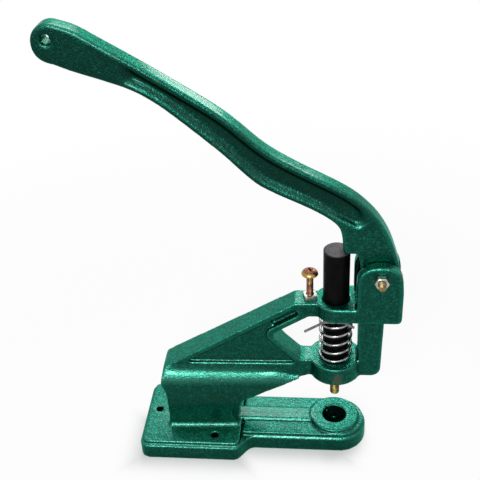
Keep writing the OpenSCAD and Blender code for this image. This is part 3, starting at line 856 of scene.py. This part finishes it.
# %% Nuts by polygon and cone
def nut_surface(sides, flats, height, hole, turn, bevels):
    """r = min(polygon(a), cap): polygon(a) = flats / 2 / cos(a folded into one side), cap = the
    cone's radius at that height, or the hole's on the inner rows. bevels are the bevel heights at
    the bottom and the top."""
    columns, steps, face = sides * 16, 6, 0.47 * flats
    lip = 0.6 if hole > 0 else 0.0
    a = np.arange(columns) * 2 * np.pi / columns
    fold = (a % (2 * np.pi / sides)) - np.pi / sides
    polygon = flats / 2 / np.cos(fold)
    cone = face + (polygon.max() - face) * np.linspace(0, 1, steps)
    bottom, top = np.linspace(0, bevels[0], steps), np.linspace(height - bevels[1], height, steps)
    z = np.concatenate([[lip, 0], bottom, top, [height, height - lip]])
    cap = np.concatenate([[hole, hole + lip], cone, cone[::-1], [hole + lip, hole]])
    r = np.minimum(polygon[None, :], cap[:, None])
    points = np.stack([r * np.cos(a + turn), r * np.sin(a + turn), z[:, None] + 0 * r], -1)
    return points.reshape(-1, 3), quads(len(z), columns, hole > 0)


print("points of a hexagon nut:", len(nut_surface(6, 10, 5, 3, 0, (0.9, 0.9))[0]))

# %% Pivot bolt and nut
pivot_x, pivot_z, hex_flats, inch_pitch = 38, 202, 11.1, 1.27
hex_nut = across(nut_surface(6, hex_flats, 5.6, 3.2, 0, (0.9, 0.9)), (pivot_x, -25.15, pivot_z))
nut_mesh = mesh_of("pivot_hex_nut", hex_nut, 25)
piece("pivot_hex_nut", nut_mesh, metal["bright_zinc"], "body", "bright_zinc", "pivot_nut")
bolt_head = across(nut_surface(6, hex_flats, 4.4, 0, 0, (0.15, 0.9)), (pivot_x, 19.55, pivot_z))
bolt_rod = threaded_rod(3.165, -32, 20.4, -32.5, -9, inch_pitch, bevel=0.8)
bolt_shank = across(bolt_rod, (pivot_x, 0, pivot_z))
bolt_mesh = mesh_of("pivot_hex_bolt", joined(bolt_head, bolt_shank), 25)
piece("pivot_hex_bolt", bolt_mesh, metal["old_yellow_zinc"], "body", "yellow_zinc", "pivot_bolt")

# %% [markdown]
# ## The stop screw
# The screw that stands on the arm keeps the lever from going too far. Its pan head has a cross
# recess. The head is a turned profile, and the recess is pressed into it: where a point lies
# inside the cross, its height is held down to the recess's floor, with steep walls round it.


# %% Pan head
def pan_head(radius, low, dome, neck, floor, turn):
    """Turned profile: flat underside, rounded rim, elliptical dome z = low + rim + dome * sin(b).
    Inside the cross z is at most floor + slope * d, where d is the distance outside the cross's
    arms."""
    rim, columns = 0.6, 128
    arm_half, flare, arm_reach, slope = 0.62, 0.08, 2.9, 7
    b = np.radians(np.linspace(0, 90, 64))
    r = np.concatenate([[0, neck, radius - rim, radius - 0.15], radius * np.cos(b)])
    z = np.concatenate([[low, low, low, low + 0.2], low + rim + dome * np.sin(b)])
    a = (np.arange(columns) * 2 * np.pi / columns)[None, :]
    x, y = r[:, None] * np.cos(a), r[:, None] * np.sin(a)
    z = z[:, None] + 0 * a
    u, v = np.abs(x * np.cos(turn) + y * np.sin(turn)), np.abs(y * np.cos(turn) - x * np.sin(turn))
    longer, shorter = np.maximum(u, v), np.minimum(u, v)
    d = np.maximum(shorter - arm_half + flare * longer, longer - arm_reach)
    z = np.where(z > low + 2, np.minimum(z, floor + slope * np.maximum(d, 0)), z)
    return np.stack([x, y, z], -1).reshape(-1, 3), quads(len(r), columns)


print("a pan head is turned from a profile, with a cross pressed in")

# %% Stop screw and its square nut
screw_x, screw_under, square_turn = -23.4, 194.5, np.radians(17 + 45)
head = pan_head(7.5, screw_under, 4.4, 3.2, screw_under + 2.3, np.radians(20))
shank = threaded_rod(3.19, 157.5, screw_under + 0.3, 157, 193, inch_pitch, 0.6)
screw_mesh = mesh_of("stop_pan_screw", raised(joined(head, shank), (screw_x, 0, 0)), 35)
piece("stop_pan_screw", screw_mesh, metal["yellow_zinc"], "body", "yellow_zinc", "stop_screw")
square = raised(nut_surface(4, 11, 4, 3.22, square_turn, (0.15, 0.7)), (screw_x, 0, 169.05))
square_mesh = mesh_of("stop_square_nut", square, 25)
piece("stop_square_nut", square_mesh, metal["bright_zinc"], "body", "bright_zinc", "stop_nut")

# %% [markdown]
# ## Solids that stay
# The turned ram and the set screw behind the die socket already have the right shape in the CAD
# model. They keep their own meshes and get the black oxide finish.

# %% Black ram and set screw
for node in ("ram", "die_screw"):
    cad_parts[node].data.materials.clear()
    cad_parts[node].data.materials.append(oxide)
print("black oxide on the ram and the set screw")

# %% [markdown]
# ## Floor and light
# The press stands on a white sheet. To the camera, to mirrors and to glass the sheet glows nearly
# white, and far away quite white, so that it melts into the surround. Close round the press, and a
# little wider in front of it, the glow gives way to plain grey paper. It shows the press's own soft
# shadow, and the wider band in front is a painted shadow too, as the grey paper is darker than the
# glow. Four soft lamps light it. The front one is the main one and picks out the rounded shoulder.
# The one overhead and the one behind light the upward faces, which the enamel also paints pale, and
# leave the upright ones deep. The rim lamp runs along the top of the lever.


# %% What the camera sees as white
def sees_white(tree):
    """1 for rays of the camera and rays from mirrors and glass, 0 for rays that carry light to the
    press."""
    rays = Signal(tree).node("ShaderNodeLightPath", {}, {}, "Is Camera Ray")
    return rays + rays.other("Is Glossy Ray") + rays.other("Is Transmission Ray")


def outside(place, middle, half, soft):
    """0 inside a rectangle of those half sizes on the floor, 1 further out than a soft border."""
    beyond = [ramp(abs_along(place, k, middle[k]), half[k], half[k] + soft) for k in (0, 1)]
    return beyond[0].sum_with("MAXIMUM", *beyond)


print("floor words: sees_white, outside")

# %% White floor
sheet_half, paper_grey, near_glow = 4.0, 0.7, 0.92
sheet = sheet_half * np.array([[-1, -1, 0], [1, -1, 0], [1, 1, 0], [-1, 1, 0]], float)
floor_mesh = bpy.data.meshes.new("floor")
floor_mesh.from_pydata(sheet.tolist(), [], [[0, 1, 2, 3]])
floor = bpy.data.objects.new("floor", floor_mesh)
scene.collection.objects.link(floor)
paper, paper_place = begin("white_paper")
# the wider footprints in front paint a soft shadow there with the darker grey paper
footprints = [  # middle, half sizes, soft border: close round the press, then wider in front
    ((-0.142, 0.0), (0.044, 0.040), 0.008),
    ((-0.050, 0.0), (0.050, 0.024), 0.008),
    ((-0.142, -0.022), (0.044, 0.018), 0.037),
    ((-0.050, -0.014), (0.050, 0.010), 0.037),
]
far = ramp(apart(paper_place, (0, 0, 0)), 0.027, 0.036)
far = far.sum_with("MINIMUM", far, ramp(apart(paper_place, (-0.004, -0.010, 0)), 0.018, 0.050))
for footprint in footprints:
    far = far.sum_with("MINIMUM", far, outside(paper_place, *footprint))
away = ramp(apart(paper_place, (-0.06, 0, 0)), 0.25, 0.9)
share = sees_white(paper.node_tree) * (far * (2 - far)) * (near_glow + away * (1 - near_glow))
glow = far.node("ShaderNodeEmission", {}, {"Color": (1, 1, 1, 1), "Strength": 1.0})
plain = far.node("ShaderNodeBsdfDiffuse", {}, {"Color": (paper_grey, paper_grey, paper_grey, 1)})
shown = far.node("ShaderNodeMixShader", {}, {0: share, 1: plain, 2: glow})
paper.node_tree.links.new(shown.socket, paper.node_tree.nodes["Material Output"].inputs["Surface"])
floor_mesh.materials.append(paper)
print(f"floor of white paper, {2 * sheet_half:.0f} m wide")

# %% White surround
world = bpy.data.worlds.new("studio")
scene.world = world
world.use_nodes = True
sky, sky_light = world.node_tree.nodes["Background"], 0.1
sky.inputs["Color"].default_value = (1, 1, 1, 1)
sky_strength = sees_white(world.node_tree) * (1 - sky_light) + sky_light
world.node_tree.links.new(sky_strength.socket, sky.inputs["Strength"])
print(f"surround: white to the eye, {sky_light} as a light")


# %% Studio lamps
def lamp(name, place, target, size, power):
    """An area lamp of that width and height at a place, turned so that its -Z looks at the
    target."""
    light = bpy.data.lights.new(name, "AREA")
    light.shape, light.energy = "RECTANGLE", power
    light.size, light.size_y = size
    made = bpy.data.objects.new(name, light)
    back = np.array(place, float) - np.array(target, float)
    back /= np.linalg.norm(back)
    side = np.cross((0.0, 1.0, 0.0) if abs(back[2]) > 0.9 else (0.0, 0.0, 1.0), back)
    side /= np.linalg.norm(side)
    turned = np.eye(4)
    turned[:3] = np.column_stack([side, np.cross(back, side), back, place])
    made.matrix_world = Matrix(turned.tolist())
    scene.collection.objects.link(made)


lamps = [  # name, place, target, width and height, watts
    ("overhead_lamp", (-0.1, 0.1, 1.3), (-0.05, 0, 0.1), (0.8, 0.8), 2.5),
    ("back_lamp", (-0.24, 0.95, 1.0), (-0.10, 0, 0.05), (0.40, 0.25), 3.2),
    ("front_lamp", (-0.2, -1.05, 0.80), (-0.08, 0, 0.08), (0.5, 0.4), 19),
    ("rim_lamp", (0.27, 1.0, 0.69), (-0.10, 0, 0.33), (0.4, 0.15), 3),
]
for settings in lamps:
    lamp(*settings)
print(len(lamps), "soft lamps")
